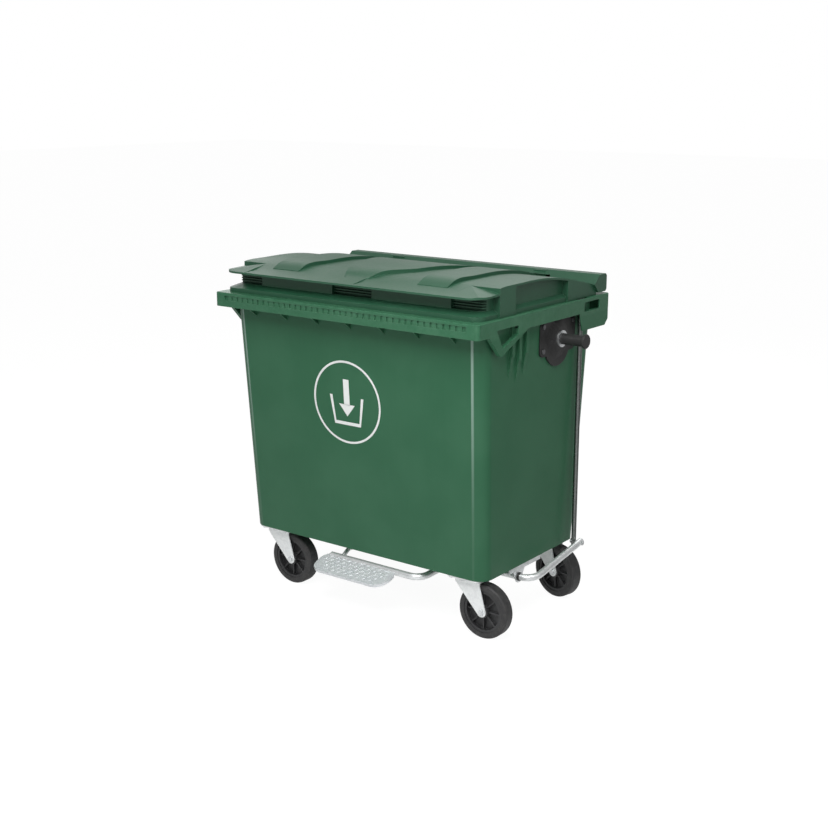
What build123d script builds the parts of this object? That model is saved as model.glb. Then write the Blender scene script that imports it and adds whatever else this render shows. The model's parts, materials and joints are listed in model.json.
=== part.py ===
from build123d import *
import math
import os

# Four-wheeled refuse container of 660 litres with a pedal that lifts the lid.
# Millimetres: X to the right, Y to the back, Z up, floor at zero.
# The origin lies on the floor under the middle of the rim.

# Shared values
seat_gap = 0.3
bore_gap = 0.05
overrun = 2.0

# Rim: a flange around the mouth with a skirt that hangs from its edge
rim_width = 1180.0
rim_depth = 860.0
rim_top = 1147.0
rim_radius = 14.0
rim_edge = 3.0
flange_wall = 5.0
skirt_wall = 4.0
skirt_depth = 52.0

# Tub: a tapered vessel below the rim, drawn between its base and its mouth
side_flange = 27.0
end_flange = 61.5
width_draft = 43.0
depth_draft = 111.0
mouth_back_shift = 3.5
base_back_shift = 4.0
tub_radius = 52.0
tub_wall = 5.0
tub_floor = 6.0

# Front skirt: a recessed band between two lips, with comb teeth in it
band_drop = 11.0
band_height = 17.0
band_recess = 5.0
band_inset = 48.0
tooth_count = 41
tooth_width = 17.0
tooth_gap = 1.5

# Webs under the front and rear flanges
web_count = 7
web_pitch = 150.0
web_wall = 6.0
web_drop = 37.0
web_reach = 42.0
web_tuck = 8.0

# Front side handles: loops that hang from the side skirts, set back from the rim's front
loop_thickness = 16.0
loop_inset = 65.0
loop_length = 241.0
loop_tip_back = 69.0
loop_tip_drop = 127.0
loop_tip_radius = 12.0
loop_hole_inset = 108.0
loop_hole_length = 132.0
loop_hole_tip_back = 36.0
loop_hole_top_drop = 34.0
loop_hole_rear_drop = 64.0
loop_hole_tip_drop = 98.0

# Rear side handles: deeper ends of the side skirts with a slot in each
grip_lead = 30.0
grip_depth = 116.0
grip_chamfer = 22.0
grip_return = 96.0
grip_slot_lead = 2.0
grip_slot_length = 108.0
grip_slot_top_drop = 14.0
grip_slot_height = 34.0
grip_slot_radius = 6.0
grip_wall = 14.0

# Ribs on the side walls, between the front handle and the trunnion
rib_count = 3
rib_pitch = 44.0
rib_inset = 280.0
rib_width = 15.0
rib_reach = 11.0
rib_drop = 242.0
rib_taper = 40.0

# Trunnions on both sides, held by black plates
trunnion_share = 0.24
trunnion_drop = 124.0
trunnion_reach = 95.0
trunnion_radius = 20.0
trunnion_lip_radius = 26.0
trunnion_lip = 9.0
trunnion_edge = 3.0
collar_radius = 30.0
collar_thickness = 6.0
plate_front_reach = 115.0
plate_rear_reach = 121.0
plate_top_gap = 2.0
plate_drop = 179.0
plate_thickness = 5.5
plate_lobe_radius = 84.0
plate_lobe_drop = 45.0
plate_radius = 22.0
dome_base_radius = 74.0
dome_top_radius = 38.0
dome_rise = 16.0
plate_screw_radius = 5.0
plate_screw_head = 9.0
plate_screw_head_height = 4.0
plate_screw_inset = 20.0

# Hinge of the lid: two sites of two ears each, on the rear flange
hinge_inset = 46.0
hinge_rise = 33.0
hinge_site_x = 334.0
hinge_ear_radius = 16.0
hinge_ear_width = 20.0
hinge_knuckle_width = 54.0
hinge_knuckle_radius = 14.0
hinge_pin_radius = 7.0
hinge_pin_head_radius = 11.0
hinge_pin_head = 4.0

# Lid: a thin shell with an overhanging top, a recessed waist and a rear hood
lid_wall = 4.0
lid_side_inset = 14.0
lid_front_inset = 25.0
lid_rear_inset = 78.0
lid_lip = 7.0
lid_corner_radius = 62.0
lid_waist_side_inset = 38.0
lid_waist_inset = 80.0
lid_waist_radius = 40.0
lid_brim_side_inset = 20.0
lid_brim_inset = 35.0
lid_brim_height = 15.0
lid_brim_slope = 12.0
lid_brim_radius = 40.0
lid_pillar_length = 95.0
lid_panel_lead = 100.0

# Upper line of the lid: a straight lip, a crease, then one curve over to the hood
lid_height = 104.0
lid_lip_height_share = 0.75
lid_crease_share = 0.059
lid_crease_height_share = 0.789
lid_curve_shares = (0.103, 0.1585, 0.284, 0.403, 0.520, 0.630, 0.746, 0.869, 1.0)
lid_curve_height_shares = (0.861, 0.952, 0.990, 1.0, 0.981, 0.904, 0.760, 0.558, 0.361)

# Raised fields on the lid, which fade out towards the front lip
field_rise = 12.0
field_start_share = -0.6
field_rise_shares = (0.1, 0.9, 1.0, 1.0, 1.0, 1.0, 0.85, 0.35, 0.1)
field_front_share = 0.105
field_bend_share = 0.34
field_wide_share = 0.62
field_rear_share = 0.97
field_side_shares = (0.0, 0.4, 0.9, 1.0)
middle_field_front_half = 52.0
middle_field_bend_half = 140.0
middle_field_rear_half = 200.0
side_field_inner_front = 268.0
side_field_inner_rear = 250.0
side_field_outer_front = 392.0
side_field_outer_rear = 408.0

# Smooth grips in the front lip, at the middle and at both corners
grip_ramp_half = 43.0
grip_ramp_side = 115.0
grip_ramp_fall = 17.0

# Pockets below the lip, behind the grips
pocket_half = 89.0
pocket_side_length = 127.0
pocket_height = 36.0
pocket_depth = 26.0
pocket_rise = 64.0
pocket_rib_count = 3
pocket_rib = 3.5
pocket_rib_reach = 14.0

# Hood over the hinge, along the rear edge of the lid
hood_side_inset = 4.0
hood_front_inset = 109.0
hood_rear_inset = 20.0
hood_height = 74.0
hood_slope = 41.0
hood_slope_wall = 6.5
hood_bevel = 8.0
hood_foot_share = 0.7
hood_end_rise = 9.0
hood_window_width = 106.0
hood_window_rise = 44.0
hood_window_height = 14.0

# Casters
wheel_radius = 100.0
tyre_width = 48.0
tyre_shoulder = 9.0
tyre_depth = 22.0
core_rim_wall = 10.0
core_rim_width = 42.0
core_web = 8.0
core_hub_radius = 23.0
core_spoke_count = 8
core_spoke_width = 5.0
core_spoke_depth = 30.0
caster_side_inset = 94.5
caster_end_inset = 59.0
caster_trail = 68.0
caster_plate_length = 135.0
caster_plate_width = 110.0
caster_plate_thickness = 5.0
caster_plate_radius = 14.0
caster_bolt_inset = 15.0
caster_bolt_radius = 5.0
caster_bolt_head_radius = 10.0
caster_bolt_head_height = 5.0
caster_nut_radius = 9.0
caster_nut_height = 6.5
race_radius = 36.0
race_wall = 6.0
race_drop = 5.4
crown_radius = 42.0
crown_thickness = 4.0
crown_drop = 13.0
crown_gap = 3.0
fork_side_gap = 3.0
fork_wall = 3.5
fork_front_reach = 44.0
fork_rear = 60.0
fork_shoulder = 12.0
fork_tip_radius = 18.0
kingpin_radius = 6.0
kingpin_head_radius = 14.0
kingpin_head = 5.0
axle_radius = 6.0
axle_head_radius = 10.0
axle_head = 7.0
axle_nut_height = 9.0
rear_right_swivel_angle = -13.0

# Pedal: a shaft across under the tub, a front tube with a foot plate, a side arm
tube_radius = 12.5
tube_wall = 2.5
shaft_y = -80.0
shaft_drop = 42.0
shaft_left = -140.0
arm_side_gap = 3.2
arm_tail = 12.0
arm_rear_rise = 10.0
arm_bend = 50.0
front_tube_y = -303.0
front_tube_drop = 46.0
front_tube_left = -150.0
front_tube_x = 264.0
front_tube_bend = 46.0
left_arm_x = -100.0
left_arm_radius = 8.0
left_arm_rise = 24.0
left_arm_lead = 41.0
left_arm_bend = 30.0
foot_left = -176.0
foot_right = 162.0
foot_reach = 97.0
foot_front_drop = 74.0
foot_rear_drop = 39.0
foot_wall = 4.0
foot_skirt = 12.0
foot_left_radius = 40.0
foot_right_radius = 58.0

# Hangers that carry the pedal shaft
hanger_wall = 4.0
hanger_width = 40.0
hanger_length = 110.0
side_hanger_length = 208.0
side_hanger_rear_share = 0.69
hanger_eye_radius = 22.0
hanger_left_x = -60.0
hanger_middle_x = 330.0
hanger_bolt_radius = 4.0
hanger_bolt_head_radius = 7.5
hanger_bolt_head_height = 5.0
hanger_bolt_inset = 16.0
bush_wall = 3.0
bush_lip = 3.0
bush_width = 16.0

# Lift rod between the side arm and the lid
rod_radius = 9.0
rod_gap = 0.3
rod_side_gap = 10.8
rod_pin_rise = 8.0
rod_pin_radius = 5.0
rod_pin_head_radius = 8.5
rod_pin_head = 3.0
rod_foot = 14.0
rod_head_width = 46.0
rod_head_thickness = 6.0
rod_head_above = 13.0
rod_head_below = 34.0
rod_slot_length = 28.0
rod_slot_height = 13.4
rod_slot_shift = 2.4
rod_slot_drop = 1.2
lug_lead = 6.0
lug_pin_drop = 27.0
lug_thickness = 5.0
lug_eye_radius = 12.0
lug_foot_length = 60.0
lug_foot_rise = 11.0
lug_foot_height = 30.0
lug_screw_radius = 3.0
lug_screw_head_radius = 6.0
lug_screw_head = 2.5
lug_screw_cover = 1.0
rim_slot_lead = 34.0
rim_slot_length = 82.0

# Rim and tub, worked out from the sizes above
base_height = 2 * wheel_radius + crown_gap + crown_thickness + crown_drop
rim_half_x = rim_width / 2
rim_half_y = rim_depth / 2
rim_front = -rim_half_y
skirt_bottom = rim_top - skirt_depth
flange_bottom = rim_top - flange_wall
mouth_width = rim_width - 2 * side_flange
mouth_depth = rim_depth - 2 * end_flange
base_width = mouth_width - width_draft
base_depth = mouth_depth - depth_draft
caster_x = base_width / 2 - caster_side_inset
caster_y = base_depth / 2 - caster_end_inset
crown_top = base_height - crown_drop
crown_bottom = crown_top - crown_thickness
plate_bottom_z = base_height - caster_plate_thickness
fork_gap = max(tyre_width, core_rim_width) + 2 * fork_side_gap
core_hub_width = fork_gap - 2 * seat_gap
tyre_inner_radius = wheel_radius - tyre_depth

# Trunnions and hinge
trunnion_y = rim_half_y * trunnion_share
trunnion_z = rim_top - trunnion_drop
trunnion_tip_x = rim_half_x + trunnion_reach
plate_front = trunnion_y - plate_front_reach
plate_rear = trunnion_y + plate_rear_reach
plate_bottom = rim_top - plate_drop
hinge_y = rim_half_y - hinge_inset
hinge_z = rim_top + hinge_rise

# Lid and hood
lid_bottom = rim_top + seat_gap
lid_half = rim_half_x - lid_side_inset
lid_front = rim_front + lid_front_inset
lid_rear = rim_half_y - lid_rear_inset
lid_waist_half = rim_half_x - lid_waist_side_inset
lid_waist_front = rim_front + lid_waist_inset
lid_brim_half = rim_half_x - lid_brim_side_inset
lid_brim_front = rim_front + lid_brim_inset
hood_half = rim_half_x - hood_side_inset
hood_front = rim_half_y - hood_front_inset
hood_slope_y = hood_front + hood_slope
hood_rear = rim_half_y - hood_rear_inset
hood_top = rim_top + hood_height

# Pedal, rod and lug
shaft_z = base_height - shaft_drop
front_tube_z = base_height - front_tube_drop
foot_front = front_tube_y - foot_reach
foot_front_z = base_height - foot_front_drop
foot_rear_z = base_height - foot_rear_drop
rod_pin_y = plate_rear + rod_side_gap + rod_radius
rod_pin_z = base_height + rod_pin_rise
lug_pin_y = rod_pin_y + lug_lead
lug_pin_z = rim_top - lug_pin_drop
lug_foot_bottom = rim_top + lug_foot_rise
lug_foot_top = lug_foot_bottom + lug_foot_height
lid_panel_front = lug_pin_y - lid_panel_lead
rim_slot_front = rod_pin_y - rim_slot_lead
rim_slot_rear = rim_slot_front + rim_slot_length
parts = {}


def mix(start, end, share):
    """Value between two others, by share."""
    return start + (end - start) * share


def wall_share(z):
    """Share of the way from the base of the tub up to its mouth."""
    return (z - base_height) / (rim_top - base_height)


def wall_x(z):
    """Outer face of the side walls at a height."""
    return mix(base_width, mouth_width, wall_share(z)) / 2


def wall_front(z):
    """Outer face of the front wall at a height."""
    return mix(base_back_shift - base_depth / 2, mouth_back_shift - mouth_depth / 2, wall_share(z))


def wall_back(z):
    """Outer face of the rear wall at a height."""
    return mix(base_back_shift + base_depth / 2, mouth_back_shift + mouth_depth / 2, wall_share(z))


def plan(width, depth, radius, back_shift, z, inset=0):
    """Rounded rectangle, level at a height."""
    outline = RectangleRounded(width - 2 * inset, depth - 2 * inset, radius - inset)
    return Pos(0, back_shift, z) * outline


def block(x_start, x_end, y_start, y_end, z_start, z_end):
    """Box between two corners."""
    size = Box(x_end - x_start, y_end - y_start, z_end - z_start)
    return Pos((x_start + x_end) / 2, (y_start + y_end) / 2, (z_start + z_end) / 2) * size


def side_profile(outline, x_start, x_end):
    """Solid from a closed outline in Y and Z, drawn between two places in X."""
    face = Plane.YZ.offset(x_start) * make_face(outline)
    return extrude(face, amount=x_end - x_start, dir=(1, 0, 0))


def side_polygon(points, x_start, x_end):
    """Solid from a polygon in Y and Z."""
    return side_profile(Polyline(*points, close=True), x_start, x_end)


def x_cylinder(radius, x_start, x_end, y, z):
    """Cylinder along X between two places."""
    face = Plane.YZ.offset(x_start) * Pos(y, z) * Circle(radius)
    return extrude(face, amount=x_end - x_start, dir=(1, 0, 0))


def z_cylinder(radius, x, y, z_start, z_end):
    """Upright cylinder."""
    return extrude(Pos(x, y, z_start) * Circle(radius), amount=z_end - z_start)


def mirrored(shape):
    """Copy on the other side, left for right."""
    return mirror(shape, Plane.YZ)


def both_sides(shape):
    """Shape and its copy on the other side."""
    return shape + mirrored(shape)


def vessel(low, high, inset):
    """Tapered form between two heights, with its four upright edges rounded."""
    front_points = (
        (inset - wall_x(low), low),
        (wall_x(low) - inset, low),
        (wall_x(high) - inset, high),
        (inset - wall_x(high), high),
    )
    side_points = (
        (wall_front(low) + inset, low),
        (wall_back(low) - inset, low),
        (wall_back(high) - inset, high),
        (wall_front(high) + inset, high),
    )
    face = Plane.XZ.offset(-rim_half_y) * make_face(Polyline(*front_points, close=True))
    across = extrude(face, amount=rim_depth, dir=(0, -1, 0))
    solid = across & side_polygon(side_points, -rim_half_x, rim_half_x)
    upright = [edge for edge in solid.edges() if edge.bounding_box().size.Z > (high - low) / 2]
    return fillet(upright, tub_radius - inset)


def tub_outside():
    """Outer form of the vessel, from base to mouth."""
    return vessel(base_height, rim_top, 0)


def tub_inside():
    """Hollow of the vessel, running out past the mouth."""
    return vessel(base_height + tub_floor, rim_top + overrun, tub_wall)


def rim():
    """Flange and skirt as an open channel around the mouth, still without the vessel."""
    outer = plan(rim_width, rim_depth, rim_radius, 0, skirt_bottom)
    inner = plan(rim_width, rim_depth, rim_radius, 0, skirt_bottom - overrun, skirt_wall)
    full = extrude(outer, amount=skirt_depth)
    full = fillet(full.edges().group_by(Axis.Z)[-1], rim_edge)
    hollow = extrude(inner, amount=skirt_depth - flange_wall + overrun)
    end = rim_half_x - band_inset
    hollow -= block(
        -end - skirt_wall, end + skirt_wall, rim_front, rim_front + skirt_wall + band_recess,
        skirt_bottom - overrun, rim_top)
    band = block(
        -end, end, rim_front - overrun, rim_front + band_recess,
        rim_top - band_drop - band_height, rim_top - band_drop)
    return full - hollow - band + comb_teeth()


def comb_teeth():
    """Row of upright teeth in the recessed band of the front skirt."""
    end = rim_half_x - band_inset
    teeth = []
    for index in range(tooth_count):
        x = mix(-end, end, (index + 1) / (tooth_count + 1))
        teeth.append(block(
            x - tooth_width / 2, x + tooth_width / 2,
            rim_front + tooth_gap, rim_front + band_recess + skirt_wall / 2,
            rim_top - band_drop - band_height - skirt_wall / 2,
            rim_top - band_drop + skirt_wall / 2))
    return Part() + teeth


def web(x):
    """Triangular web from the front wall to the skirt, at a place in X."""
    low_z = skirt_bottom - web_drop
    points = (
        (wall_front(low_z) + tub_wall / 2, low_z),
        (wall_front(skirt_bottom) - web_reach, skirt_bottom),
        (rim_front + skirt_wall / 2 + band_recess, skirt_bottom + web_tuck),
        (rim_front + skirt_wall / 2 + band_recess, flange_bottom),
        (wall_front(flange_bottom) + tub_wall / 2, flange_bottom),
    )
    return side_polygon(points, x - web_wall / 2, x + web_wall / 2)


def rear_web(x):
    """Lower web between the rear wall and the rear skirt."""
    low_z = skirt_bottom - web_drop / 2
    points = (
        (wall_back(low_z) - tub_wall / 2, low_z),
        (rim_half_y - skirt_wall / 2, skirt_bottom + web_tuck),
        (rim_half_y - skirt_wall / 2, flange_bottom),
        (wall_back(flange_bottom) - tub_wall / 2, flange_bottom),
    )
    return side_polygon(points, x - web_wall / 2, x + web_wall / 2)


def webs():
    """Row of webs under the front flange and another under the rear flange."""
    first = -web_pitch * (web_count - 1) / 2
    row = Part()
    for index in range(web_count):
        row += web(first + index * web_pitch)
        row += rear_web(first + index * web_pitch)
    return row


def front_loop():
    """Right front handle: a hanging triangular loop."""
    front = rim_front + loop_inset
    outline = Polyline(
        (front, skirt_bottom + web_tuck),
        (front, skirt_bottom),
        (front + loop_tip_back, rim_top - loop_tip_drop),
        (front + loop_length, skirt_bottom),
        (front + loop_length, skirt_bottom + web_tuck),
        close=True)
    face = make_face(outline)
    tip = face.vertices().sort_by(Axis.Y)[0]
    face = fillet(tip, loop_tip_radius)
    face = Plane.YZ.offset(rim_half_x - loop_thickness) * face
    return extrude(face, amount=loop_thickness, dir=(1, 0, 0))


def front_loop_hole():
    """Opening of the right front handle, out through the skirt."""
    front = rim_front + loop_hole_inset
    points = (
        (front, rim_top - loop_hole_top_drop),
        (front + loop_hole_tip_back, rim_top - loop_hole_tip_drop),
        (front + loop_hole_length, rim_top - loop_hole_rear_drop),
        (front + loop_hole_length, rim_top - loop_hole_top_drop),
    )
    return side_polygon(points, rim_half_x - loop_thickness - overrun, rim_half_x + overrun)


def rear_grip():
    """Deeper end of the right side skirt, which makes the rear handle."""
    bottom = rim_top - grip_depth
    front = rod_pin_y - grip_lead
    rear = rim_half_y - grip_chamfer / 2
    points = (
        (front, skirt_bottom + web_tuck),
        (front, skirt_bottom),
        (front + grip_chamfer, bottom),
        (rear - grip_chamfer, bottom),
        (rear, bottom + grip_chamfer),
        (rear, flange_bottom),
        (rear - grip_chamfer, flange_bottom),
    )
    return side_polygon(points, rim_half_x - skirt_wall, rim_half_x)


def rear_grip_lining():
    """Thick bar below the slot and the ends that carry it."""
    slot_bottom = rim_top - grip_slot_top_drop - grip_slot_height
    bottom = rim_top - grip_depth
    rear = rim_half_y - grip_chamfer
    front = rod_pin_y + rod_radius + grip_wall
    points = (
        (front, slot_bottom),
        (front + grip_chamfer, slot_bottom - grip_wall),
        (rear - grip_chamfer, slot_bottom - grip_wall),
        (rear, slot_bottom),
    )
    bar = side_polygon(points, rim_half_x - grip_wall, rim_half_x)
    end = block(
        rim_half_x - grip_return, rim_half_x, rear - skirt_wall, rear,
        bottom + grip_chamfer, flange_bottom)
    return bar + end


def rear_grip_slot():
    """Slot of the right rear handle."""
    slot_y = rod_pin_y + grip_slot_lead + grip_slot_length / 2
    slot_z = rim_top - grip_slot_top_drop - grip_slot_height / 2
    outline = Pos(slot_y, slot_z) * RectangleRounded(
        grip_slot_length, grip_slot_height, grip_slot_radius)
    face = Plane.YZ.offset(rim_half_x - grip_wall - overrun) * outline
    return extrude(face, amount=grip_wall + 2 * overrun, dir=(1, 0, 0))


def side_ribs():
    """Upright ribs on the right wall with tapered lower ends."""
    first = rim_front + rib_inset - rib_pitch * (rib_count - 1) / 2
    row = Part()
    for index in range(rib_count):
        y = first + index * rib_pitch
        low_z = rim_top - rib_drop + rib_taper / 2 * abs(index - (rib_count - 1) / 2)
        rib = block(
            wall_x(low_z) - tub_wall / 2, wall_x(flange_bottom) + rib_reach,
            y - rib_width / 2, y + rib_width / 2, low_z, flange_bottom)
        slope = Polyline(
            (wall_x(low_z), low_z),
            (wall_x(flange_bottom) + rib_reach + overrun, low_z),
            (wall_x(flange_bottom) + rib_reach + overrun, low_z + rib_taper * 2),
            (wall_x(low_z + rib_taper * 2) + rib_reach, low_z + rib_taper * 2),
            close=True)
        face = Plane.XZ.offset(-y - rib_width) * make_face(slope)
        row += rib - extrude(face, amount=2 * rib_width, dir=(0, -1, 0))
    return row


def hinge_ear(x):
    """Ear on the rear flange with the bore for the hinge pin."""
    start = x - hinge_ear_width / 2
    end = x + hinge_ear_width / 2
    stem_points = (
        (hinge_y - hinge_ear_radius, flange_bottom),
        (hinge_y - hinge_ear_radius, hinge_z),
        (hinge_y + hinge_ear_radius, hinge_z),
        (hinge_y + hinge_ear_radius, flange_bottom),
    )
    stem = side_polygon(stem_points, start, end)
    head = x_cylinder(hinge_ear_radius, start, end, hinge_y, hinge_z)
    bore = x_cylinder(hinge_pin_radius + bore_gap, start - overrun, end + overrun, hinge_y, hinge_z)
    return stem + head - bore


def hinge_ear_offset():
    """Distance of the ears from the middle of their site."""
    return hinge_knuckle_width / 2 + seat_gap + hinge_ear_width / 2


def hinge_ears():
    """Two ears at each hinge site."""
    offset = hinge_ear_offset()
    return both_sides(hinge_ear(hinge_site_x - offset) + hinge_ear(hinge_site_x + offset))


def caster_places():
    """Middle and rest angle of each swivel caster, by its short name."""
    front = base_back_shift / 2 - caster_y
    rear = base_back_shift / 2 + caster_y
    return {
        "front_left": (-caster_x, front, 0),
        "front_right": (caster_x, front, 0),
        "rear_left": (-caster_x, rear, 0),
        "rear_right": (caster_x, rear, rear_right_swivel_angle),
    }


def caster_bolt_x():
    """Distance of the bolts from the middle of their caster plate, along it."""
    return caster_plate_length / 2 - caster_bolt_inset


def caster_bolt_y():
    """Distance of the bolts from the middle of their caster plate, across it."""
    return caster_plate_width / 2 - caster_bolt_inset


def caster_bolt_places():
    """Places of the four bolts of every caster."""
    places = []
    for x, y, _ in caster_places().values():
        for side in (-1, 1):
            for end in (-1, 1):
                places.append((x + side * caster_bolt_x(), y + end * caster_bolt_y()))
    return places


def hanger_places():
    """Place in X, front end and length of each hanger."""
    side_x = wall_x(base_height) - hanger_wall / 2
    front = shaft_y - hanger_length / 2
    side_front = shaft_y - side_hanger_length * (1 - side_hanger_rear_share)
    return {
        "left": (hanger_left_x, front, hanger_length),
        "middle": (hanger_middle_x, front, hanger_length),
        "right": (side_x, side_front, side_hanger_length),
    }


def hanger_bolt_places():
    """Two bolts in the flange of each hanger."""
    places = []
    for x, front, length in hanger_places().values():
        for y in (front + hanger_bolt_inset, front + length - hanger_bolt_inset):
            places.append((x - hanger_width / 2, y))
    return places


def floor_holes():
    """Holes through the floor of the tub for all bolts."""
    floor_top = base_height + tub_floor + overrun
    holes = Part()
    for x, y in caster_bolt_places():
        holes += z_cylinder(caster_bolt_radius + bore_gap, x, y, base_height - overrun, floor_top)
    for x, y in hanger_bolt_places():
        holes += z_cylinder(hanger_bolt_radius + bore_gap, x, y, base_height - overrun, floor_top)
    return holes


def rod_x():
    """Place of the lift rod in X, beside the inner face of the lid's rear panel."""
    return lid_half - lid_wall + rod_gap + rod_head_thickness / 2


def rim_slot():
    """Slot in the right flange for the rod and the lug."""
    start = wall_x(rim_top) + bore_gap
    end = rod_x() + rod_radius + skirt_wall / 4
    return block(start, end, rim_slot_front, rim_slot_rear, flange_bottom - overrun, rim_top + overrun)


def plate_screw_places():
    """Corners of the trunnion plate that carry its screws, in Y and Z."""
    top = skirt_bottom - plate_screw_inset
    low = plate_bottom + plate_screw_inset
    front = plate_front + plate_screw_inset
    rear = plate_rear - plate_screw_inset
    return [(front, top), (rear, top), (front, low), (rear, low)]


def plate_screw_bores():
    """Holes of the right trunnion plate's screws."""
    bores = Part()
    for y, z in plate_screw_places():
        start = wall_x(z) - tub_wall - overrun
        end = wall_x(z) + plate_thickness + overrun
        bores += x_cylinder(plate_screw_radius + bore_gap, start, end, y, z)
    return bores


def make_tub():
    """Vessel with rim, webs, handles, ribs and hinge ears in one moulding."""
    outside = tub_outside()
    inside = tub_inside()
    shell = outside + rim() + webs() + hinge_ears()
    shell += both_sides(front_loop() + side_ribs())
    shell += both_sides(rear_grip() + rear_grip_lining())
    shell -= inside
    shell -= both_sides(front_loop_hole() + rear_grip_slot())
    shell -= rim_slot()
    shell -= floor_holes()
    shell -= both_sides(plate_screw_bores())
    return shell


def trunnion_plate():
    """Right trunnion plate with its dome, seated on the side wall."""
    width = plate_rear - plate_front
    top = skirt_bottom - plate_top_gap
    height = top - plate_bottom
    middle_y = (plate_front + plate_rear) / 2
    upper = Pos(middle_y, (top + plate_bottom) / 2) * RectangleRounded(width, height, plate_radius)
    lobe = Pos(middle_y, plate_bottom + plate_lobe_radius - plate_lobe_drop) * Circle(plate_lobe_radius)
    outline = upper + lobe
    outer_x = wall_x(trunnion_z) + plate_thickness
    inner_x = wall_x(base_height)
    face = Plane.YZ.offset(inner_x) * outline
    plate = extrude(face, amount=outer_x - inner_x, dir=(1, 0, 0))
    dome_base = Plane.YZ.offset(outer_x) * Pos(trunnion_y, trunnion_z) * Circle(dome_base_radius)
    dome_top = Plane.YZ.offset(outer_x + dome_rise) * Pos(trunnion_y, trunnion_z) * Circle(dome_top_radius)
    return plate + loft([dome_base, dome_top])


def trunnion_pin():
    """Profile of the trunnion, turned about its own axis."""
    start = wall_x(trunnion_z) + plate_thickness + dome_rise + collar_thickness
    neck_end = trunnion_tip_x - trunnion_lip
    neck = x_cylinder(trunnion_radius, start, neck_end, trunnion_y, trunnion_z)
    lip = x_cylinder(trunnion_lip_radius, neck_end, trunnion_tip_x, trunnion_y, trunnion_z)
    lip = chamfer(lip.edges().sort_by(Axis.X)[-1], trunnion_edge)
    return neck + lip


def trunnion_collar():
    """Bright steel washer between the dome and the trunnion."""
    start = wall_x(trunnion_z) + plate_thickness + dome_rise
    return x_cylinder(collar_radius, start, start + collar_thickness, trunnion_y, trunnion_z)


def plate_screws():
    """Screws of the right trunnion plate."""
    outer_x = wall_x(trunnion_z) + plate_thickness
    screws = []
    for y, z in plate_screw_places():
        shank = x_cylinder(plate_screw_radius, wall_x(z) - tub_wall, outer_x, y, z)
        head = x_cylinder(plate_screw_head, outer_x, outer_x + plate_screw_head_height, y, z)
        screws.append(shank + head)
    return screws


def make_trunnions():
    """Plate, collar, trunnion and screws on both sides."""
    bores = plate_screw_bores()
    plate = trunnion_plate() - tub_outside() - bores
    collar = trunnion_collar()
    pin = trunnion_pin()
    parts["trunnion_plate_right"] = plate
    parts["trunnion_plate_left"] = mirrored(plate)
    parts["trunnion_collar_right"] = collar
    parts["trunnion_collar_left"] = mirrored(collar)
    parts["trunnion_right"] = pin
    parts["trunnion_left"] = mirrored(pin)
    screws = plate_screws()
    parts["trunnion_screws"] = Compound(children=screws + [mirrored(screw) for screw in screws])


def lid_y(share):
    """Place on the lid, as a share of its length from the front lip to the rear."""
    return mix(lid_front, lid_rear, share)


def lid_lip_points(rise):
    """Front end of the lid's upper line: the lip's edge and the crease behind it."""
    return [
        (lid_front, rim_top + lid_height * lid_lip_height_share + rise),
        (lid_y(lid_crease_share), rim_top + lid_height * lid_crease_height_share + rise)]


def lid_curve_points(rise):
    """Points of the upper line behind the crease."""
    points = []
    for share, height_share in zip(lid_curve_shares, lid_curve_height_shares):
        points.append((lid_y(share), rim_top + lid_height * height_share + rise))
    return points


def lid_mass(x_half, y_start, y_end, z_start, drop=0):
    """Solid below the upper line of the lid, between two places in Y."""
    lip, crease = lid_lip_points(-drop)
    points = lid_curve_points(-drop)
    sides = Polyline(points[-1], (lid_rear, z_start), (lid_front, z_start), lip, crease)
    solid = side_profile(Wire([Spline(crease, *points), *sides.edges()]), -x_half, x_half)
    return solid & block(-x_half, x_half, y_start, y_end, z_start, hood_top + hood_half)


def lid_plan(x_half, y_front, y_rear, radius):
    """Upright column over a plan with rounded front corners."""
    outline = Rectangle(2 * x_half, y_rear - y_front)
    corners = outline.vertices().group_by(Axis.Y)[0]
    outline = fillet(corners, radius)
    middle = (y_front + y_rear) / 2
    return extrude(Pos(0, middle, lid_bottom - overrun) * outline, amount=hood_top)


def lid_brim(inset):
    """Lower brim of the lid with its sloping upper side."""
    top = lid_bottom + lid_brim_height
    low = plan_front_rounded(
        lid_brim_half - inset, lid_brim_front + inset, lid_brim_radius - inset, lid_bottom)
    column = extrude(low, amount=lid_brim_height - inset)
    high = plan_front_rounded(
        lid_brim_half - inset, lid_brim_front + inset, lid_brim_radius - inset, top - inset)
    waist = plan_front_rounded(
        lid_waist_half - inset, lid_waist_front + inset, lid_waist_radius - inset,
        top + lid_brim_slope - inset)
    return column + loft([high, waist], ruled=True)


def plan_front_rounded(x_half, y_front, radius, z):
    """Level outline up to the rear of the lid, with rounded front corners."""
    outline = Rectangle(2 * x_half, lid_rear - y_front)
    corners = outline.vertices().group_by(Axis.Y)[0]
    outline = fillet(corners, radius)
    return Pos(0, (y_front + lid_rear) / 2, z) * outline


def lid_pillar_front():
    """Front end of the pillars beside the waist."""
    return lid_y(lid_curve_shares[1])


def strip(x_inner, x_outer, start_z, end_z, fall, height, back=0):
    """Block on a sloping plane over the front of the lid, which may fall outwards."""
    front = lid_front - overrun
    rear = lid_pillar_front() + back
    slope = (end_z - start_z) / (lid_pillar_front() - lid_front)
    start_z -= slope * overrun
    end_z += slope * back
    outer = x_outer + overrun
    fall *= (outer - x_inner) / (x_outer - x_inner)
    outline = Polyline(
        (x_inner, front, start_z), (outer, front, start_z - fall), (outer, rear, end_z - fall),
        (x_inner, rear, end_z), close=True)
    return extrude(make_face(outline), amount=height, dir=(0, 0, 1))


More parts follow.
